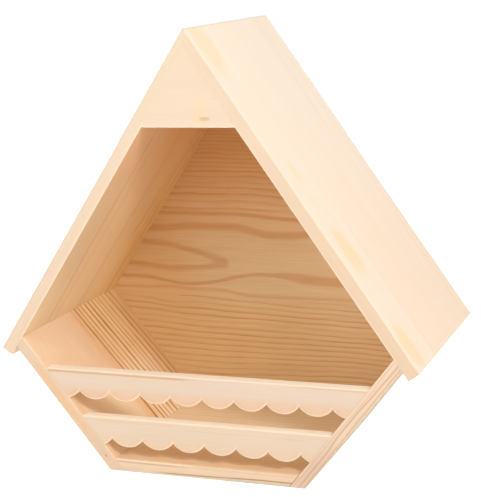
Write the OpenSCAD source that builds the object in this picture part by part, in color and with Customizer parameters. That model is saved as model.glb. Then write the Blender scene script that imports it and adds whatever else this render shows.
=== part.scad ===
// Wooden dovecote: an open-fronted nesting box under a steep pitched roof.
// The section is drawn looking at the front, x to the right and z up, and each
// board is that section carried back along y. The origin is the centre of the
// underside, on the surface that the box stands on.

/* [Overall] */
// Height from the underside to the ridge
apex_h = 422; // [380:1:480]
// Depth from the front edges to the back edges
depth = 218; // [160:1:300]
// Width across the underside, outside of the walls
base_w = 199; // [160:1:230]

/* [Roof] */
// Slope length of a roof board, ridge to eave
roof_len = 370; // [345:1:400]
// Slope of the roof above the level, in degrees
roof_pitch = 55.6; // [53:0.1:58]
// Thickness of the roof boards
roof_t = 12; // [9:0.5:16]
// Width of the front board in each glued roof panel; two equal boards follow
roof_front_w = 60; // [40:1:80]

/* [Walls and floor] */
// Slope of the walls above the level, in degrees
wall_lean = 51.7; // [48:0.1:55]
// Thickness of the side walls
wall_t = 12; // [9:0.5:16]
// Thickness of the floor
floor_t = 12; // [9:0.5:14]
// Width of the front board in each glued side wall
wall_front_w = 104; // [70:1:140]
// Width of the front board in the glued floor
floor_front_w = 109; // [70:1:140]

/* [Back] */
// Thickness of the back panel
back_t = 12; // [9:0.5:16]

/* [Gable] */
// Height of the gable board's lower edge above the underside
gable_z = 334; // [310:1:350]
// Thickness of the gable board
gable_t = 12; // [9:0.5:16]

/* [Rails] */
// Thickness of the two front rails
rail_t = 12; // [9:0.5:16]
// Height of a rail from its straight top edge to the tips of its lobes
rail_h = 29; // [25:0.5:31]
// Height of the upper rail's top edge above the underside
upper_rail_z = 99; // [92:0.5:106]
// Height of the lower rail's top edge above the underside
lower_rail_z = 53; // [50:0.5:58]
// Width of one lobe of the scalloped edge
lobe_w = 32; // [26:0.5:40]
// Depth of the scalloped edge, cusp to lobe tip
lobe_d = 8; // [5:0.5:10]
// Width of the bevel that eases the rails' front edges
ease = 1; // [0.5:0.1:2]

/* [Hidden] */
$fn = 96;

pine_pale = [0.93, 0.84, 0.75];
pine_cream = [0.95, 0.89, 0.81];
pine_warm = [0.87, 0.72, 0.58];
pine_tan = [0.80, 0.62, 0.46];

y_front = -depth / 2;
y_back = depth / 2;
y_wall = y_front + wall_front_w;
y_floor = y_front + floor_front_w;
y_roof = y_front + roof_front_w;
y_roof_2 = (y_roof + y_back) / 2;

// Roof section, right half: the outer line runs from the ridge down to the eave.
roof_dir = [cos(roof_pitch), -sin(roof_pitch)];
roof_in = [-sin(roof_pitch), -cos(roof_pitch)];
ridge = [0, apex_h];
eave_top = ridge + roof_len * roof_dir;
eave_low = eave_top + roof_t * roof_in;
ridge_low = [0, apex_h - roof_t / cos(roof_pitch)];

// Wall section, right half: the outer line rises from the edge of the underside.
wall_dir = [cos(wall_lean), sin(wall_lean)];
wall_foot = [base_w / 2, 0];
wall_foot_in = [base_w / 2 - wall_t / sin(wall_lean), 0];

function cross2(a, b) = a[0] * b[1] - a[1] * b[0];
function meet(p, d, q, e) = p + d * cross2(q - p, e) / cross2(d, e);
wall_top = meet(eave_low, roof_dir, wall_foot, wall_dir);
wall_top_in = meet(eave_low, roof_dir, wall_foot_in, wall_dir);

// Half width of the room at height z, below and above the wall heads.
function room_low(z) = wall_foot_in[0] + z / tan(wall_lean);
function room_high(z) = (ridge_low[1] - z) / tan(roof_pitch);

module carry(y0, y1) {
    translate([0, y1, 0])
        rotate([90, 0, 0])
            linear_extrude(height = y1 - y0)
                children();
}

module roof_section() {
    polygon([ridge, eave_top, eave_low, ridge_low]);
}

module wall_section() {
    polygon([wall_foot, wall_top, wall_top_in, wall_foot_in]);
}

module floor_section() {
    polygon([
        [-room_low(0), 0], [room_low(0), 0],
        [room_low(floor_t), floor_t], [-room_low(floor_t), floor_t]
    ]);
}

// Clear section of the room above the floor, between the walls and the roof.
module room_section() {
    polygon([
        [-room_low(floor_t), floor_t], [room_low(floor_t), floor_t],
        wall_top_in, ridge_low, [-wall_top_in[0], wall_top_in[1]]
    ]);
}

// The back panel closes the room between the back edges: equal boards, one
// above the other, from the floor to the underside of the ridge.
back_boards = 4;
back_board_h = (ridge_low[1] - floor_t) / back_boards;
module back_board(row) {
    carry(y_back - back_t, y_back)
        intersection() {
            room_section();
            translate([-apex_h, floor_t + (row - 1) * back_board_h])
                square([2 * apex_h, back_board_h]);
        }
}

// One rail: straight top edge, ends cut to the walls, round lobes hanging along
// the lower edge with a cusp on the middle line. The lobes' front edges are
// eased by a bevel that follows each arc, and so is the top edge.
lobe_r = (lobe_w * lobe_w / 4 + lobe_d * lobe_d) / (2 * lobe_d);
module lobe() {
    rotate([-90, 0, 0]) {
        cylinder(h = ease, r1 = lobe_r - ease, r2 = lobe_r);
        translate([0, 0, ease])
            cylinder(h = rail_t, r = lobe_r);
    }
}

module rail(top_z) {
    low_z = top_z - rail_h;
    mid_z = low_z + lobe_r;
    count = ceil(room_low(top_z) / lobe_w);
    difference() {
        carry(y_front, y_front + rail_t)
            polygon([
                [-room_low(low_z), low_z], [room_low(low_z), low_z],
                [room_low(top_z), top_z], [-room_low(top_z), top_z]
            ]);
        for (i = [-count : count - 1])
            difference() {
                translate([i * lobe_w, y_front - 1, low_z - 1])
                    cube([lobe_w, rail_t + 2, mid_z - low_z + 1]);
                translate([(i + 0.5) * lobe_w, y_front, mid_z])
                    lobe();
            }
        translate([0, y_front, top_z])
            rotate([45, 0, 0])
                cube([3 * base_w, ease * sqrt(2), ease * sqrt(2)], center = true);
    }
}

module roof_left_front() {
    color(pine_pale) carry(y_front, y_roof) mirror([1, 0]) roof_section();
}

module roof_left_middle() {
    color(pine_pale) carry(y_roof, y_roof_2) mirror([1, 0]) roof_section();
}

module roof_left_back() {
    color(pine_pale) carry(y_roof_2, y_back) mirror([1, 0]) roof_section();
}

module roof_right_front() {
    color(pine_cream) carry(y_front, y_roof) roof_section();
}

module roof_right_middle() {
    color(pine_cream) carry(y_roof, y_roof_2) roof_section();
}

module roof_right_back() {
    color(pine_cream) carry(y_roof_2, y_back) roof_section();
}

module wall_left_front() {
    color(pine_warm) carry(y_front, y_wall) mirror([1, 0]) wall_section();
}

module wall_left_back() {
    color(pine_tan) carry(y_wall, y_back) mirror([1, 0]) wall_section();
}

module wall_right_front() {
    color(pine_warm) carry(y_front, y_wall) wall_section();
}

module wall_right_back() {
    color(pine_tan) carry(y_wall, y_back) wall_section();
}

module floor_front() {
    color(pine_warm) carry(y_front, y_floor) floor_section();
}

module floor_back() {
    color(pine_warm) carry(y_floor, y_back) floor_section();
}

module back_board_1() {
    color(pine_tan) back_board(1);
}

module back_board_2() {
    color(pine_tan) back_board(2);
}

module back_board_3() {
    color(pine_tan) back_board(3);
}

module back_board_4() {
    color(pine_tan) back_board(4);
}

module gable_board() {
    color(pine_pale)
        carry(y_front, y_front + gable_t)
            polygon([
                [-room_high(gable_z), gable_z], [room_high(gable_z), gable_z], ridge_low
            ]);
}

module upper_rail() {
    color(pine_pale) rail(upper_rail_z);
}

module lower_rail() {
    color(pine_pale) rail(lower_rail_z);
}

roof_left_front();
roof_left_middle();
roof_left_back();
roof_right_front();
roof_right_middle();
roof_right_back();
wall_left_front();
wall_left_back();
wall_right_front();
wall_right_back();
floor_front();
floor_back();
back_board_1();
back_board_2();
back_board_3();
back_board_4();
gable_board();
upper_rail();
lower_rail();
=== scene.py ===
import math

import bpy
from mathutils import Matrix, Vector

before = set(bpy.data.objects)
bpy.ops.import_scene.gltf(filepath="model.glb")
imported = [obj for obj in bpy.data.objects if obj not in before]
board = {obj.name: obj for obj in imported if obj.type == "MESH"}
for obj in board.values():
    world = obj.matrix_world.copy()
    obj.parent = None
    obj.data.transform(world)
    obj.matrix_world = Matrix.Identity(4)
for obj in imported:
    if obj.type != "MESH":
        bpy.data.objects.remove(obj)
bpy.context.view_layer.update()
print("frame loaded:", len(board), "boards")


def paint(red, green, blue):  # a colour as a paint box shows it, 0 to 255
    def linear(level):
        level = level / 255
        if level <= 0.04045:
            return level / 12.92
        return ((level + 0.055) / 1.055) ** 2.4
    return (linear(red), linear(green), linear(blue), 1.0)


class Wire:  # one socket; the operators add the nodes
    def __init__(self, shader, socket):
        self.shader = shader
        self.socket = socket

    def maths(self, operation, *terms):
        return self.shader.node("Math", {"operation": operation}, dict(enumerate(terms)))

    def __add__(self, other):
        return self.maths("ADD", self, other)

    def __radd__(self, other):
        return self.maths("ADD", other, self)

    def __sub__(self, other):
        return self.maths("SUBTRACT", self, other)

    def __rsub__(self, other):
        return self.maths("SUBTRACT", other, self)

    def __mul__(self, other):
        return self.maths("MULTIPLY", self, other)

    def __rmul__(self, other):
        return self.maths("MULTIPLY", other, self)

    def __truediv__(self, other):
        return self.maths("DIVIDE", self, other)

    def __pow__(self, other):
        return self.maths("POWER", self, other)

    def __abs__(self):
        return self.maths("ABSOLUTE", self)

    def most(self, other):
        return self.maths("MAXIMUM", self, other)

    def least(self, other):
        return self.maths("MINIMUM", self, other)


class Shader:  # one material, or the world, built node by node
    def __init__(self, name, shelf=bpy.data.materials):
        self.material = shelf.new(name)
        self.material.use_nodes = True
        self.tree = self.material.node_tree
        self.tree.nodes.clear()

    def node(self, kind, settings=None, inputs=None, output=0):
        made = self.tree.nodes.new("ShaderNode" + kind)
        for key, value in (settings or {}).items():
            setattr(made, key, value)
        for key, value in (inputs or {}).items():
            socket = self.find(made.inputs, key)
            if isinstance(value, Wire):
                self.tree.links.new(value.socket, socket)
            else:
                socket.default_value = value
        return Wire(self, self.find(made.outputs, output)) if len(made.outputs) else made

    def find(self, sockets, key):
        if isinstance(key, int):
            return sockets[key]
        return next(s for s in sockets if s.name == key and s.enabled)

    def smooth(self, value, start, end, low=0.0, high=1.0):
        return self.node("MapRange", {"interpolation_type": "SMOOTHSTEP"},
                         {"Value": value, "From Min": start, "From Max": end,
                          "To Min": low, "To Max": high})

    def between(self, value, low, high, soft):
        return self.smooth(value, low - soft, low + soft) * self.smooth(value, high + soft, high - soft)

    def vector(self, operation, *terms):
        return self.node("VectorMath", {"operation": operation}, dict(enumerate(terms)))

    def scaled(self, vector, amount):
        return self.node("VectorMath", {"operation": "SCALE"}, {0: tuple(vector), "Scale": amount})

    def dot(self, vector, direction):
        return self.node("VectorMath", {"operation": "DOT_PRODUCT"},
                         {0: vector, 1: tuple(direction)}, output="Value")

    def mix(self, factor, first, second):
        return self.node("Mix", {"data_type": "RGBA"},
                         {"Factor": factor, "A": first, "B": second}, output="Result")


# how each board is sawn: where its grain runs, in the part's own frame, in metres

frontY = -0.109
backY = 0.109
ridgeZ = 0.422
footX = 0.0995
roofPitch = math.radians(55.6)
wallLean = math.radians(51.7)
outOfFront = (0, -1, 0)


def cut(origin, along, across, through):
    return {"origin": Vector(origin), "along": Vector(along),
            "across": Vector(across), "through": Vector(through)}


def roofCut(side):
    return cut((0, frontY, ridgeZ),
               (side * math.cos(roofPitch), 0, -math.sin(roofPitch)),
               (0, 1, 0),
               (side * math.sin(roofPitch), 0, math.cos(roofPitch)))


def wallCut(side):
    return cut((side * footX, frontY, 0),
               (side * math.cos(wallLean), 0, math.sin(wallLean)),
               (0, 1, 0),
               (side * math.sin(wallLean), 0, -math.cos(wallLean)))


floorCut = cut((0, frontY, 0), (1, 0, 0), (0, 1, 0), (0, 0, -1))
backCut = cut((0, backY, 0), (1, 0, 0), (0, 0, 1), (0, 1, 0))
frontCut = cut((0, frontY, 0), (1, 0, 0), (0, 0, 1), outOfFront)

planed = {  # what all the boards share; places and lengths on a board are in millimetres
    "faceLimits": (0.6, 0.9), "frontLimits": (0.85, 0.95),
    "wanderNoise": (0.007, 0.012, 2.0, 0.5),  # along the grain, across it, detail, roughness
    "shiverNoise": (0.03, 0.10, 2.0, 0.5),
    "fibreNoise": (0.03, 1.4, 3.0, 0.6),
    "cloudNoise": (0.004, 0.03, 2.0, 0.5),
    "streakNoise": (0.014, 0.45, 2.0, 0.6),
    "brokenNoise": (0.035, 0.12, 2.0, 0.5),
    "lateEnd": 0.94, "ringFade": 0.95, "faintRing": 0.45,
    "strokeCore": 0.2, "strokeEnds": 10, "spotWobble": 0.5, "spotCore": 0.45,
    "edgeShiver": 0.8, "edgeLineEnds": 12, "highlightEnds": 1.0, "highlightDepth": (-10.3, -11.3),
    "easeRadius": 0.0009, "easeSamples": 8, "flushPull": 6.0, "gluedEnds": 0.5,  # radius in metres
    "greying": 0.6, "roughness": 0.62, "fibreRoughness": 0.2, "lateShine": 0.08, "specular": 0.3,
    "bumpStrength": 0.25, "bumpHeight": 0.0004, "fibreHeight": 0.5, "lateDepth": 0.3,
}


class Pine(Shader):  # planed pine, sawn from a log that lies along the grain
    def __init__(self, name, sawn, look):
        super().__init__(name)
        self.sawn = sawn
        self.look = {**planed, **look}
        self.place = self.node("TexCoord", output="Object")
        self.facing = self.node("TexCoord", output="Normal")
        self.along = self.measure("along")
        self.across = self.measure("across")
        self.through = self.measure("through")
        self.inside = self.faces(-sawn["through"], "faceLimits")
        self.outside = self.faces(sawn["through"], "faceLimits")
        self.frontEnd = self.faces(outOfFront, "frontLimits")  # not on the bevels beside it
        self.wander = self.noise("wanderNoise")
        self.shiver = self.noise("shiverNoise")
        self.fibre = self.noise("fibreNoise")

    def measure(self, direction):  # millimetres from the cut's origin
        axis = self.sawn[direction] * 1000
        return self.dot(self.place, axis) - self.sawn["origin"].dot(axis)

    def faces(self, direction, limits):  # 1 where the surface looks that way
        return self.smooth(self.dot(self.facing, direction), *self.look[limits])

    def noise(self, kind):  # swings about 0, drawn out along the grain
        lengthwise, crosswise, detail, rough = self.look[kind]
        place = self.node("CombineXYZ", inputs={0: self.along * lengthwise, 1: self.across * crosswise,
                                                2: self.through * crosswise})
        return self.node("TexNoise", {"noise_dimensions": "3D"},
                         {"Vector": place, "Scale": 1.0, "Detail": detail, "Roughness": rough}) - 0.5

    def drift(self):  # how far the grain strays sideways
        return self.wander * self.look["wander"] + self.shiver * self.look["shiver"]

    def fade(self, tone, way, limits, colour):  # from one tone to another between two places
        return self.mix(self.smooth(way, *self.look[limits]), tone, self.look[colour])

    def ringBands(self, count, share):  # 1 in the dark late wood of each ring
        look = self.look
        ring = count.maths("FRACT", count)
        luck = self.node("TexWhiteNoise", {"noise_dimensions": "1D"},
                         {"W": count.maths("FLOOR", count)})
        late = self.smooth(ring, 1 - share, look["lateEnd"]) * self.smooth(ring, 1.0, look["ringFade"])
        return late * (look["faintRing"] + (1 - look["faintRing"]) * luck)

    def logRings(self):
        look = self.look
        pithAcross, pithDeep = look["pith"]
        sideways = self.across - pithAcross - look["slant"] * self.along + self.drift()
        deep = self.through - pithDeep
        radius = (sideways * sideways + deep * deep) ** 0.5
        return self.ringBands(radius / look["ringGap"], look["lateShare"])

    def path(self, start, bends):  # place of a grain line that wanders as it runs along the board
        place = start
        for bendFrom, bendTo, rise in bends:
            place = self.smooth(self.along, bendFrom, bendTo, 0, rise) + place
        return place

    def stroke(self, distance, reach, strength):  # one grain line, soft on both sides
        return self.smooth(abs(distance), reach, reach * self.look["strokeCore"]) * strength

    def strokes(self, dark):  # single lines that each run a part of the board
        look = self.look
        if "strokes" not in look:
            return dark
        sideways = self.across + self.drift()
        broken = 1 + self.noise("brokenNoise")  # a line is now fainter, now stronger along its run
        for start, bends, first, last, reach, strength in look["strokes"]:
            line = self.stroke(sideways - self.path(start, bends), reach, strength)
            dark = dark.most(line * self.between(self.along, first, last, look["strokeEnds"]) * broken)
        return dark

    def spot(self, along, across, long, wide, sideways):  # soft oval, 1 at its middle
        u = (self.along - along + self.shiver * long * self.look["spotWobble"]) / long
        v = (sideways - across + self.shiver * wide) / wide
        return self.smooth((u * u + v * v) ** 0.5, 1.0, self.look["spotCore"])

    def grain(self):
        return self.strokes(self.logRings())

    def frontEdge(self, tone):  # growth lines, specks, and a painted highlight along the eased edge of a board's front end
        look = self.look
        for start, bends, first, last, reach, strength in look.get("edgeLines", ()):
            height = self.through + self.shiver * look["edgeShiver"]
            line = self.stroke(height - self.path(start, bends), reach, strength)
            line = line * self.between(self.along, first, last, look["edgeLineEnds"]) * self.frontEnd
            tone = self.mix(line, tone, look["lineColour"])
        for along, through, long, wide, strength in look.get("edgeSpecks", ()):
            speck = self.spot(along, through, long, wide, self.through) * self.frontEnd * strength
            tone = self.mix(speck, tone, look["speckColour"])
        # painted highlight: the front end turns paler along its eased inner edge beside each opening
        for first, last in look.get("openings", ()):
            eased = self.between(self.along, first, last, look["highlightEnds"])
            eased = eased * self.smooth(self.through, *look["highlightDepth"]) * self.frontEnd
            tone = self.mix(eased * look["highlightStrength"], tone, look["highlightColour"])
        return tone

    def flush(self):  # 1 where the front ends of roof and gable board are planed as one
        return 0.0

    def normal(self):  # eased edges, but flush where boards are glued edge to edge
        look = self.look
        eased = self.node("Bevel", {"samples": look["easeSamples"]}, {"Radius": look["easeRadius"]})
        held = self.scaled(outOfFront, self.frontEnd * self.flush() * look["flushPull"])
        eased = self.vector("NORMALIZE", self.vector("ADD", eased, held))
        if "glued" not in look:
            return eased
        low, high = look["glued"]
        across = self.sawn["across"]
        turned = self.dot(eased, across) * self.between(self.across, low, high, look["gluedEnds"])
        return self.vector("NORMALIZE", self.vector("SUBTRACT", eased, self.scaled(across, turned)))

    def finish(self, dark):
        look = self.look
        pale = self.mix(self.outside, self.mix(self.inside, look["edge"], look["inner"]), look["outer"])
        late = self.mix(self.inside, look["outerLate"], look["innerLate"])
        tone = self.mix(dark * look["contrast"], pale, late)
        for along, across, long, wide, strength in look.get("patches", ()):
            patch = self.spot(along, across, long, wide, self.across) * self.outside * strength
            tone = self.mix(patch, tone, look["resin"])
        for along, across, long, wide, strength in look.get("specks", ()):
            speck = self.spot(along, across, long, wide, self.across) * strength
            tone = self.mix(speck, tone, look["speckColour"])
        tone = self.frontEdge(tone)
        cloud = self.noise("cloudNoise") * look["cloud"]
        streak = self.noise("streakNoise") * look["streak"]
        shade = 1 + self.fibre * look["fibre"] + cloud + streak
        tone = self.node("HueSaturation", inputs={"Value": shade, "Color": tone,
                                                  "Saturation": 1 - (shade - 1) * look["greying"]})
        relief = self.fibre * look["fibreHeight"] - dark * look["lateDepth"]
        bump = self.node("Bump", inputs={"Strength": look["bumpStrength"], "Distance": look["bumpHeight"],
                                         "Normal": self.normal(), "Height": relief})
        rough = look["roughness"] + self.fibre * look["fibreRoughness"] - dark * look["lateShine"]
        skin = self.node("BsdfPrincipled", inputs={"Base Color": tone, "Roughness": rough, "Normal": bump,
                                                   "Specular IOR Level": look["specular"]})
        self.node("OutputMaterial", inputs={"Surface": skin})
        return self.material


def wear(name, material):
    board[name].data.materials.clear()
    board[name].data.materials.append(material)


def dress(name, sawn, look, kind):
    pine = kind(name + "_pine", sawn, look)
    wear(name, pine.finish(pine.grain()))


# the outer tones towards the eave and the inner warm, high and ridge tones are painted shade; the highlight
# tone is a painted highlight
roofTone = {
    "outer": paint(255, 235, 212), "outerLate": paint(246, 216, 180), "lowTint": paint(255, 231, 205),
    "edge": paint(230, 207, 180), "lowEdgeShade": paint(232, 205, 178),
    "inner": paint(251, 218, 174), "innerLate": paint(214, 148, 90),
    "innerWarmShade": paint(255, 222, 166), "innerFront": paint(241, 210, 170), "innerLow": paint(252, 226, 187),
    "innerHighShade": paint(247, 204, 158), "innerRidgeShade": paint(247, 199, 147),
    "outerFade": (90, 320), "edgeFade": (40, 300), "frontFade": (70, 15), "lowFade": (240, 330),
    "warmFade": (110, 190), "highFade": (215, 115), "ridgeStart": (60, 95), "ridgeEnd": (165, 135),
    "flushFade": (92, 89),
    "ringGap": 7.0, "lateShare": 0.4, "wander": 6.0, "shiver": 0.8,
    "contrast": 0.25, "fibre": 0.12, "cloud": 0.06, "streak": 0.05, "glued": (3, 215),
    "openings": [(93, 351)], "highlightColour": paint(250, 224, 190), "highlightStrength": 0.6,
}

# pith: where the log's heart lies, across and through
# strokes: place across, bends (from, to, rise), first, last, reach, strength
# patches, specks: along, across, length, width, strength
roofBoards = {
    "roof_left_front": {"pith": (150, 60), "slant": 0.01, "contrast": 0.22,
                        "strokes": [(47, [(140, 230, -2.5), (240, 300, 2.5)], 112, 345, 2.6, 1.6),
                                    (61, [(130, 200, 3)], 112, 250, 2.0, 0.8)]},
    "roof_left_middle": {"pith": (95, 110), "slant": -0.01, "contrast": 0.16,
                         "strokes": [(125, [(150, 330, -10)], 150, 345, 4.0, 0.9)]},
    "roof_left_back": {"pith": (150, 60), "slant": 0.02, "contrast": 0.34,
                       "strokes": [(196, [(120, 215, -28), (215, 262, -8)], 112, 262, 5.5, 0.65),
                                   (206, [(130, 235, -20)], 118, 238, 3.6, 0.7),
                                   (183, [(125, 200, -22)], 118, 240, 2.6, 0.55),
                                   (175, [(125, 160, 3), (160, 250, -16)], 118, 245, 2.0, 0.4),
                                   (191, [(240, 345, -7)], 225, 350, 4.0, 0.9),
                                   (172, [(270, 345, -6)], 262, 350, 2.4, 0.5)]},
    "roof_right_front": {"pith": (30, 160), "slant": 0.0, "contrast": 0.15, "resin": paint(254, 220, 168),
                         "edge": paint(229, 203, 177), "lowEdgeShade": paint(227, 198, 168),
                         "lowTint": paint(255, 234, 210),
                         "patches": [(22, 26, 40, 22, 0.45), (160, 30, 16, 10, 0.3),
                                     (190, 28, 12, 8, 0.2), (246, 28, 32, 20, 0.65),
                                     (262, 36, 15, 9, 0.3), (345, 18, 30, 20, 0.6)]},
    "roof_right_middle": {"pith": (240, 30), "slant": 0.01, "lowTint": paint(255, 229, 202)},
    "roof_right_back": {"pith": (150, 150), "slant": -0.01, "lowTint": paint(255, 230, 204)},
}


class RoofPine(Pine):
    def flush(self):
        return self.smooth(self.along, *self.look["flushFade"])

    def finish(self, dark):  # painted shade: outside warmer and darker towards the eave; inside warmer and darker towards the ridge and the back, where the roof is shaded
        look = self.look
        # painted shade: the outside and its front edges turn warmer and darker towards the eave
        look["outer"] = self.fade(look["outer"], self.along, "outerFade", "lowTint")
        look["edge"] = self.fade(look["edge"], self.along, "edgeFade", "lowEdgeShade")
        inner = self.fade(look["inner"], self.across, "frontFade", "innerFront")
        inner = self.fade(inner, self.along, "lowFade", "innerLow")
        # painted shade: warmer towards the back
        inner = self.fade(inner, self.across, "warmFade", "innerWarmShade")
        # painted shade near the ridge, deeper across the middle of the board
        ridge = self.smooth(self.across, *look["ridgeStart"]) * self.smooth(self.across, *look["ridgeEnd"])
        high = self.mix(ridge, look["innerHighShade"], look["innerRidgeShade"])
        look["inner"] = self.mix(self.smooth(self.along, *look["highFade"]), inner, high)
        return super().finish(dark)


for name, log in roofBoards.items():
    side = -1 if "left" in name else 1
    dress(name, roofCut(side), {**roofTone, **log}, RoofPine)
print("roof dressed:", len(roofBoards), "boards")

# the low inner tone is painted light; the corner, warm and low edge tones are painted shade; the highlight
# tone is a painted highlight
wallTone = {
    "outer": paint(255, 237, 208), "outerLate": paint(236, 200, 160),
    "edge": paint(228, 199, 170), "lowEdgeShade": paint(222, 192, 164),
    "inner": paint(247, 216, 182), "innerLate": paint(196, 136, 82), "innerWarmShade": paint(247, 216, 182),
    "joinWarm": paint(242, 203, 156), "innerLow": paint(255, 231, 195), "innerCornerShade": paint(238, 202, 163),
    "lowFade": (95, 60), "warmFade": (150, 210), "edgeFade": (70, 15),
    "cornerHead": (120, 106), "cornerFront": (15, 6),
    "joinAt": 106, "joinFade": (16, 2), "joinStrength": 0.8,
    "ringGap": 8.2, "lateShare": 0.8, "wander": 5.0, "shiver": 0.8,
    "contrast": 0.9, "fibre": 0.16, "cloud": 0.08, "streak": 0.1, "glued": (3, 215),
    "lineColour": paint(196, 152, 116), "speckColour": paint(190, 135, 90),
    "openings": [(6, 22), (64, 80), (121, 155)], "highlightColour": paint(250, 220, 184), "highlightStrength": 0.5,
}

# edge lines and edge specks are the same on the front end, with the place through the board
# stripes: place across, reach, strength
wallBoards = {
    "wall_left_front": {"pith": (50, 170), "slant": 0.0, "contrast": 0.12,
                        "lineColour": paint(232, 184, 134),
                        "strokes": [(102.5, [(110, 215, -7)], 118, 218, 2.6, 2.2)],
                        "edgeLines": [(-6.5, [(20, 90, 1.5)], 40, 125, 6.0, 0.55)],
                        "edgeSpecks": [(13.5, -5.5, 2.2, 1.3, 0.7), (47, -4.5, 2.0, 1.0, 0.3)]},
    "wall_left_back": {"slant": -0.09, "contrast": 0.56, "shiver": 1.6, "streak": 0.35, "fibre": 0.24,
                       "stripeBreaks": 1.6,
                       "inner": paint(246, 214, 166), "innerLate": paint(192, 128, 70),
                       "innerWarmShade": paint(242, 206, 154),
                       "strokes": [(109, [(20, 120, -4)], 5, 62, 2.4, 2.2)],
                       "stripes": [(121.5, 2.5, 1.45), (128.5, 2.2, 1.05), (136, 2.2, 1.15),
                                   (144.5, 2.4, 1.2), (153, 2.7, 1.5), (161.5, 2.4, 1.0),
                                   (169.5, 2.2, 0.85), (176.5, 2.2, 0.8), (186, 2.8, 0.9),
                                   (195.5, 3.0, 1.0), (204.5, 3.0, 0.85)]},
    "wall_right_front": {"pith": (60, 150), "slant": 0.0, "contrast": 0.4,
                         "edge": paint(233, 205, 178), "lowEdgeShade": paint(219, 190, 165),
                         "edgeLines": [(-5.4, [(38, 64, -1.6), (90, 118, 1.2), (125, 150, 0.8)],
                                        -5, 160, 1.3, 0.6),
                                       (-1.4, [(50, 90, -0.4)], -5, 160, 1.1, 0.55),
                                       (-9.6, [(60, 100, 1.0)], -5, 130, 0.9, 0.3),
                                       (-9.9, [], 125, 160, 0.8, 0.35)],
                         "edgeSpecks": [(70, -2.0, 1.5, 1.0, 0.5)]},
    "wall_right_back": {"pith": (-180, 30), "slant": 0.02, "contrast": 0.55},
}


class WallPine(Pine):
    def stripes(self, dark):  # lines that run the whole board, side by side
        look = self.look
        sideways = self.across + self.drift() - look["slant"] * self.along
        broken = 1 + self.noise("brokenNoise") * look["stripeBreaks"]
        for start, reach, strength in look["stripes"]:
            dark = dark.most(self.stroke(sideways - start, reach, strength) * broken)
        return dark

    def grain(self):  # the striped board has its own drawn rings
        if "stripes" in self.look:
            return self.stripes(self.strokes(self.across * 0))
        return super().grain()

    def finish(self, dark):  # warmer at the glued joint; painted shade, warmer, in the front corner behind the rails and at the back; painted light low down in the rails' shadow; painted shade on the front edge near the foot
        look = self.look
        join = self.smooth(abs(self.across - look["joinAt"]), *look["joinFade"]) * look["joinStrength"]
        # painted shade in the front corner, behind the rails
        corner = self.smooth(self.along, *look["cornerHead"])
        corner = corner * self.smooth(self.across, *look["cornerFront"])
        # painted light: paler low down, where the rails' shadow falls
        inner = self.fade(look["inner"], self.along, "lowFade", "innerLow")
        inner = self.mix(corner, inner, look["innerCornerShade"])
        inner = self.mix(join, inner, look["joinWarm"])
        # painted shade: warmer and darker towards the back corner
        look["inner"] = self.fade(inner, self.across, "warmFade", "innerWarmShade")
        # painted shade: the front edge darker towards the foot
        look["edge"] = self.fade(look["edge"], self.along, "edgeFade", "lowEdgeShade")
        return super().finish(dark)


for name, log in wallBoards.items():
    side = -1 if "left" in name else 1
    dress(name, wallCut(side), {**wallTone, **log}, WallPine)
print("walls dressed:", len(wallBoards), "boards")

# the right tint is painted light; the front, lip and foot tones are painted shade; the highlight tone is a
# painted highlight
floorTone = {
    "outer": paint(244, 214, 180), "outerLate": paint(205, 150, 100), "edge": paint(232, 203, 171),
    "inner": paint(249, 227, 192), "innerLate": paint(222, 160, 104),
    "rightLitTint": paint(255, 242, 212), "frontShade": paint(249, 222, 188), "lipShade": paint(240, 208, 170),
    "rightFade": (-30, 50), "frontFade": (45, 18), "lipFade": (14, 3),
    "ringGap": 7.0, "lateShare": 0.4, "wander": 5.0, "shiver": 0.8,
    "contrast": 0.22, "fibre": 0.14, "cloud": 0.08, "streak": 0.1, "glued": (3, 215),
    "footShadeColour": paint(212, 195, 173), "footShadeFade": (-7, -3), "footShadeStrength": 0.35,
    "underShadeFade": (-3.2, -2.2), "underShadeRight": (5, 30), "underShadeStrength": 0.8,
    "jointColour": paint(140, 98, 62), "jointAt": 84.0, "jointReach": 1.0, "jointStrength": 0.7,
    "lineColour": paint(180, 134, 94),
    "openings": [(-93, -12)], "highlightColour": paint(252, 222, 190), "highlightStrength": 0.8,
}
floorBoards = {
    "floor_front": {"pith": (50, 120), "slant": 0.0,
                    "edgeLines": [(-2.0, [(-25, 70, -1.9)], -45, 92, 1.0, 0.95),
                                  (-9.2, [], -96, -25, 0.8, 0.5)]},
    "floor_back": {"pith": (260, 60), "slant": 0.01},
}


class FloorPine(Pine):
    def finish(self, dark):  # painted light, paler to the right, where the right wall's shadow falls; painted shade, darker towards the front lip, under the lower rail
        look = self.look
        # painted light: paler to the right
        inner = self.fade(look["inner"], self.along, "rightFade", "rightLitTint")
        # painted shade under the lower rail, darkest at the front lip
        inner = self.fade(inner, self.across, "frontFade", "frontShade")
        look["inner"] = self.fade(inner, self.across, "lipFade", "lipShade")
        return super().finish(dark)

    def frontEdge(self, tone):  # painted shade, greyer towards the foot and along the bottom at the right, with the joint to the right wall
        look = self.look
        footShade = self.smooth(self.through, *look["footShadeFade"]) * self.frontEnd * look["footShadeStrength"]
        tone = super().frontEdge(self.mix(footShade, tone, look["footShadeColour"]))
        underShade = self.smooth(self.through, *look["underShadeFade"]) * self.smooth(self.along, *look["underShadeRight"])
        tone = self.mix(underShade * self.frontEnd * look["underShadeStrength"], tone, look["footShadeColour"])
        fromJoint = self.along - look["jointAt"] + self.through / math.tan(wallLean)
        joint = self.stroke(fromJoint, look["jointReach"], look["jointStrength"]) * self.frontEnd
        return self.mix(joint, tone, look["jointColour"])


for name, log in floorBoards.items():
    dress(name, floorCut, {**floorTone, **log}, FloorPine)
print("floor dressed:", len(floorBoards), "boards")

# back panel: one figure runs over its boards; along is from its middle, across is the height

# the right tint is painted light; the left and top tints are painted shade
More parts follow.
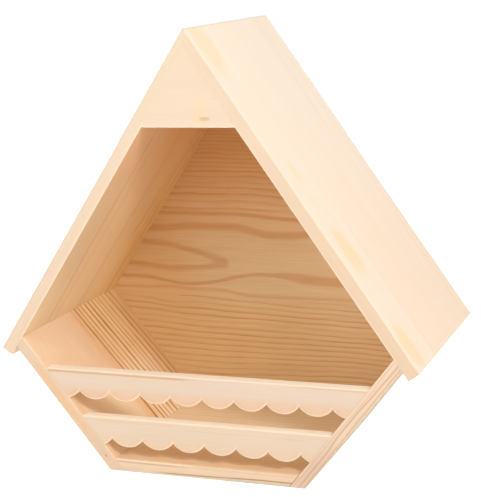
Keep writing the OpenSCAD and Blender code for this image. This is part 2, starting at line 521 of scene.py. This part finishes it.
backTone = {
    "boards": ["back_board_1", "back_board_2", "back_board_3", "back_board_4"],
    "outer": paint(240, 205, 165), "outerLate": paint(200, 142, 90), "edge": paint(240, 205, 165),
    "inner": paint(240, 212, 167), "innerLate": paint(212, 135, 56),
    "lowTint": paint(242, 210, 158), "leftShade": paint(240, 204, 152),
    "rightLitTint": paint(255, 225, 177), "topShade": paint(227, 174, 115),
    "lowFade": (135, 105), "leftFade": (-60, -130), "rightFade": (0, 110), "topFade": (150, 290),
    "wander": 8.0, "shiver": 4.5, "steadyShiver": 2.0, "glued": (15, 395),
    "contrast": 0.5, "fibre": 0.16, "cloud": 0.08, "streak": 0.18,
    "swirl": (-120, 125), "swirlSize": (18, 8), "swirlReach": 2.0, "swirlPush": 0.5,
    "upper": {"from": 218, "middle": 213, "gap": 9.3, "crowding": 0.00085, "shift": 0.14,
              "share": 0.6, "strength": 1.1, "fallAlong": (-40, 35), "fall": 5, "fallBelow": (265, 215)},
    "lower": {"from": 124, "slope": 0.05, "shiver": 3.0, "gap": 6.5, "share": 0.52, "breaks": 1.4,
              "crowdAlong": (-80, 120), "crowding": 1.18},
    "lines": [(215.5, [(-40, 35, -5)], 3.4, 1.0),
              (198.5, [(-125, -90, 3), (-45, 5, -8), (15, 50, 2)], 6.2, 0.95),
              (132, [(-60, -25, -5)], 3.0, 0.6)],
    "heart": {"tip": (-54, 162), "tilt": -0.085, "open": 0.95, "curve": 0.25, "wide": 165,
              "tail": 3, "round": 70, "reach": 4.4, "strength": 0.8},
    "sweep": {"start": 144, "bends": [(-150, -105, -6.5), (-95, -10, 13), (5, 60, -5)],
              "thickAlong": (-5, 35), "thin": 3.0, "thick": 8.0, "core": 0.3, "strength": 0.85},
}


class BackPine(Pine):
    def swirled(self):  # height on the panel, pushed apart round the small swirl
        look = self.look
        u = (self.along - look["swirl"][0]) / look["swirlSize"][0]
        v = (self.across - look["swirl"][1]) / look["swirlSize"][1]
        near = self.smooth((u * u + v * v) ** 0.5, look["swirlReach"], 0.0)
        return self.across - (self.across - look["swirl"][1]) * near * look["swirlPush"]

    def upperRings(self, straight, height):  # rings that crowd together towards the ridge
        rings = self.look["upper"]
        falling = self.smooth(self.along, *rings["fallAlong"], 0, rings["fall"])
        falling = falling * self.smooth(straight, *rings["fallBelow"])
        rise = height + falling - rings["middle"]
        packed = rise / rings["gap"] + rise * rise * rings["crowding"] - rings["shift"]
        bands = self.ringBands(packed, rings["share"])
        return bands * self.smooth(height, rings["from"], rings["from"] + 1) * rings["strength"]

    def lowerRings(self, height):  # close rings under the plain middle of the panel
        rings = self.look["lower"]
        drop = rings["from"] - height - self.along * rings["slope"] + self.shiver * rings["shiver"]
        crowd = self.smooth(self.along, *rings["crowdAlong"], 1.0, rings["crowding"])
        bands = self.ringBands(drop / rings["gap"] * crowd, rings["share"])
        bands = bands * self.smooth(height, rings["from"], rings["from"] - 1)
        return bands * (1 + self.noise("brokenNoise") * rings["breaks"])

    def heart(self, steady):  # a line that turns back on itself at its tip
        line = self.look["heart"]
        tipX, tipZ = line["tip"]
        offset = steady - tipZ - (self.along - tipX) * line["tilt"]
        gape = tipX - self.along
        gape = gape * abs(gape) ** line["curve"] * line["open"]
        gape = gape.least(gape * line["tail"]).least(line["wide"])
        slope = (offset * offset * 4 + line["round"]) ** 0.5
        return self.stroke((offset * offset - gape) / slope, line["reach"], line["strength"])

    def sweep(self, steady):  # the wide dark band that thickens to the right
        line = self.look["sweep"]
        middle = self.path(line["start"], line["bends"])
        thick = self.smooth(self.along, *line["thickAlong"], line["thin"], line["thick"])
        return self.smooth(abs(steady - middle) / thick, 1.0, line["core"]) * line["strength"]

    def grain(self):
        straight = self.swirled()
        height = straight + self.drift()
        steady = straight + self.shiver * self.look["steadyShiver"]
        dark = self.upperRings(straight, height).most(self.lowerRings(height))
        for start, bends, reach, strength in self.look["lines"]:
            dark = dark.most(self.stroke(steady - self.path(start, bends), reach, strength))
        return dark.most(self.sweep(steady).most(self.heart(steady)))

    def finish(self, dark):  # painted light, paler at the right, where the right wall's shadow falls; painted shade, darker at the left and browner towards the ridge, under the gable
        look = self.look
        inner = self.fade(look["inner"], self.across, "lowFade", "lowTint")
        # painted shade: darker towards the left corner
        inner = self.fade(inner, self.along, "leftFade", "leftShade")
        inner = self.fade(inner, self.along, "rightFade", "rightLitTint")
        # painted shade: browner towards the ridge, under the gable
        look["inner"] = self.fade(inner, self.across, "topFade", "topShade")
        return super().finish(dark)


backPine = BackPine("back_pine", backCut, backTone)
backMaterial = backPine.finish(backPine.grain())
for name in backTone["boards"]:
    wear(name, backMaterial)
print("back dressed:", len(backTone["boards"]), "boards")

frontTone = {
    # painted light: the edge tone, on the rails' top faces, is much paler than their fronts, as if lit from
    # above
    "outer": paint(239, 214, 187), "outerLate": paint(230, 194, 154), "edge": paint(255, 242, 221),
    "inner": paint(240, 205, 165), "innerLate": paint(210, 160, 112),
    "ringGap": 7.5, "lateShare": 0.4, "wander": 6.0, "shiver": 0.8,
    "contrast": 0.12, "fibre": 0.10, "cloud": 0.08, "streak": 0.06,
    "highlightColour": paint(255, 232, 204),
}
gableLook = {
    **frontTone, "pith": (400, 60), "slant": 0.0, "outer": paint(231, 208, 183),
    "flushFade": (336, 337), "highlightFade": (335.7, 334.9), "highlightStrength": 0.7,
    "speckColour": paint(205, 165, 125),
    "specks": [(17, 342, 6.5, 2.4, 0.6), (14, 382, 1.6, 1.2, 0.7), (27, 360, 1.6, 0.8, 0.4)],
    "resin": paint(243, 207, 162), "patches": [(13, 347, 9, 19, 0.5)],
}
railTone = {
    **frontTone, "high": 29, "lobeWide": 32, "lobeRadius": 20,
    "lineColour": paint(214, 164, 122), "lineEnds": 15,
    "shadeColour": paint(232, 186, 146), "shadeBelow": (-8.0, -12.5), "shadeIn": (6.0, 2.2),
    "bandIn": (14, 21), "bandShare": 0.7,
    "highlightIn": (1.9, 1.2), "highlightBelow": (0, -5), "highlightStrength": 0.85, "highlightSides": (4, 15), "highlightFaint": 0.45,
    "topHighlightColour": paint(252, 221, 188), "topHighlightIn": (3, 1.5), "topHighlightStrength": 0.8,
    "bevelLimits": (0.4, 0.6), "bevelPull": 1.5,
}
railBoards = {
    "upper_rail": {"pith": (80, 70), "slant": 0.0, "outer": paint(227, 203, 180),
                   "top": 99, "shadeStrength": 0.6,
                   "lines": [(96.6, -175, -15, 1.7, 0.75), (97.0, 95, 175, 0.9, 0.35)]},
    "lower_rail": {"pith": (40, 60), "slant": 0.01, "outer": paint(228, 204, 179),
                   "top": 53, "shadeStrength": 0.25,
                   "lines": [(49.5, -110, -30, 0.8, 0.25), (46.5, -20, 100, 0.8, 0.2)]},
}


class GablePine(Pine):
    def flush(self):
        return self.smooth(self.across, *self.look["flushFade"])

    def frontEdge(self, tone):  # a painted highlight along its eased lower edge
        eased = self.smooth(self.across, *self.look["highlightFade"]) * self.frontEnd
        return self.mix(eased * self.look["highlightStrength"], tone, self.look["highlightColour"])


class RailPine(Pine):
    def __init__(self, name, sawn, look):
        super().__init__(name, sawn, look)
        self.frontBevel = self.faces(outOfFront, "bevelLimits") * (1 - self.frontEnd)

    def inward(self, value, edge, limits):  # a fade that starts and ends so far in from an edge
        start, end = self.look[limits]
        return self.smooth(value, edge - start, edge - end)

    def frontEdge(self, tone):  # grain lines, painted shade along the lobes, and painted highlights on the eased edges
        look = self.look
        for at, first, last, reach, strength in look["lines"]:
            line = self.stroke(self.across + self.shiver * look["edgeShiver"] - at, reach, strength)
            line = line * self.between(self.along, first, last, look["lineEnds"]) * self.outside
            tone = self.mix(line, tone, look["lineColour"])
        band = self.inward(self.across, look["top"], "bandIn") * self.outside
        tone = self.mix(band * look["shadeStrength"] * look["bandShare"], tone, look["shadeColour"])
        lobes = self.along / look["lobeWide"]
        sideways = (lobes.maths("FRACT", lobes) - 0.5) * look["lobeWide"]
        upward = self.across - (look["top"] - look["high"] + look["lobeRadius"])
        radius = (sideways * sideways + upward * upward) ** 0.5
        lobesOnly = self.smooth(upward, *look["shadeBelow"]) * self.outside
        shade = self.inward(radius, look["lobeRadius"], "shadeIn") * lobesOnly * look["shadeStrength"]
        tone = self.mix(shade, tone, look["shadeColour"])
        # painted highlight along the eased lower edge of each lobe
        highlight = self.inward(radius, look["lobeRadius"], "highlightIn") * self.smooth(upward, *look["highlightBelow"])
        highlight = highlight * look["highlightStrength"] * (self.frontEnd + self.frontBevel)
        highlight = highlight * self.smooth(sideways, *look["highlightSides"], 1.0, look["highlightFaint"])
        tone = self.mix(highlight, tone, look["highlightColour"])
        # painted highlight along the eased top edge
        topHighlight = self.frontBevel * self.inward(self.across, look["top"], "topHighlightIn")
        return self.mix(topHighlight * look["topHighlightStrength"], tone, look["topHighlightColour"])

    def normal(self):  # the bevel that follows the lobes is sanded over towards the front
        lean = self.scaled(outOfFront, self.frontBevel * self.look["bevelPull"])
        return self.vector("NORMALIZE", self.vector("ADD", super().normal(), lean))


dress("gable_board", frontCut, gableLook, GablePine)
for name, log in railBoards.items():
    dress(name, frontCut, {**railTone, **log}, RailPine)
print("gable board and rails dressed")

stageLook = {"floorSize": 60.0, "gap": 0.0002, "floorColour": (0.84, 0.84, 0.84, 1.0),
             "shadowColour": (0.32, 0.32, 0.32, 1.0), "whiteShare": 0.9}
bpy.ops.mesh.primitive_plane_add(size=stageLook["floorSize"], location=(0, 0, -stageLook["gap"]))
ground = bpy.context.object
ground.name = "ground"
groundShader = Shader("pale_floor")
seen = groundShader.node("LightPath", output="Is Camera Ray")
lit = groundShader.node("BsdfDiffuse", inputs={"Color": stageLook["floorColour"]})
shadowed = groundShader.node("BsdfDiffuse", inputs={"Color": stageLook["shadowColour"]})
glow = groundShader.node("Emission", inputs={"Strength": stageLook["whiteShare"]})
white = groundShader.node("AddShader", inputs={0: shadowed, 1: glow})  # white, but for the shadow
groundShader.node("OutputMaterial", inputs={
    "Surface": groundShader.node("MixShader", inputs={0: seen, 1: lit, 2: white})})
ground.data.materials.append(groundShader.material)
print("ground laid")

skyLook = {"colour": (1, 1, 1, 1), "level": 0.33, "shownLevel": 1.0}
sky = Shader("studio", bpy.data.worlds)
direct = sky.node("LightPath", output="Is Camera Ray")
mirrored = sky.node("LightPath", output="Is Glossy Ray")
passed = sky.node("LightPath", output="Is Transmission Ray")
softSky = sky.node("Background", inputs={"Color": skyLook["colour"], "Strength": skyLook["level"]})
whiteSky = sky.node("Background", inputs={"Color": skyLook["colour"], "Strength": skyLook["shownLevel"]})
shown = (direct + mirrored + passed).least(1.0)
sky.node("OutputWorld", inputs={
    "Surface": sky.node("MixShader", inputs={0: shown, 1: softSky, 2: whiteSky})})
bpy.context.scene.world = sky.material
print("sky set")


def around(azimuth, elevation):  # unit vector out from the box; 0 is straight in front
    a = math.radians(azimuth)
    e = math.radians(elevation)
    return Vector((math.sin(a) * math.cos(e), -math.cos(a) * math.cos(e), math.sin(e)))


lampAim = Vector((0, 0, 0.2))
lamps = {
    "key_light": {"azimuth": 49, "elevation": 31, "distance": 3.0, "size": 0.6, "level": 0.39},
    "side_softbox": {"azimuth": 64, "elevation": 5, "distance": 2.4, "size": 1.4, "level": 0.10},
    "front_softbox": {"azimuth": -12, "elevation": 6, "distance": 1.7, "size": 1.9, "level": 0.37},
    "top_softbox": {"azimuth": 24, "elevation": 58, "distance": 2.2, "size": 1.4, "level": 0.27},
    "left_softbox": {"azimuth": 252, "elevation": 18, "distance": 2.4, "size": 1.5, "level": 0.30},
    "back_softbox": {"azimuth": 206, "elevation": 12, "distance": 2.4, "size": 1.2, "level": 0.42},
}
for name, lamp in lamps.items():
    light = bpy.data.lights.new(name, "AREA")
    light.shape = "DISK"
    light.size = lamp["size"]
    light.energy = lamp["level"] * math.pi ** 2 * lamp["distance"] ** 2
    lampObject = bpy.data.objects.new(name, light)
    bpy.context.scene.collection.objects.link(lampObject)
    outward = around(lamp["azimuth"], lamp["elevation"])
    lampObject.location = lampAim + outward * lamp["distance"]
    lampObject.rotation_euler = (-outward).to_track_quat("-Z", "Y").to_euler()
print("lamps set:", len(lamps))

cameraLook = {"azimuth": 21.31, "elevation": 11.81, "roll": -2.55, "distance": 1.2693,
              "target": (0.0465, -0.109, 0.2241), "sensor": 36.0, "lens": 101.88,
              "shift": (-0.5 / 497, 0.5 / 497)}
cameraData = bpy.data.cameras.new("camera")
cameraData.sensor_width = cameraLook["sensor"]
cameraData.lens = cameraLook["lens"]
cameraData.shift_x, cameraData.shift_y = cameraLook["shift"]
camera = bpy.data.objects.new("camera", cameraData)
bpy.context.scene.collection.objects.link(camera)
outward = around(cameraLook["azimuth"], cameraLook["elevation"])
turn = (-outward).to_track_quat("-Z", "Y").to_matrix() @ Matrix.Rotation(
    math.radians(cameraLook["roll"]), 3, "Z")
camera.matrix_world = Matrix.Translation(
    Vector(cameraLook["target"]) + outward * cameraLook["distance"]) @ turn.to_4x4()
bpy.context.scene.camera = camera
bpy.context.scene.view_settings.view_transform = "Standard"
print("camera set")
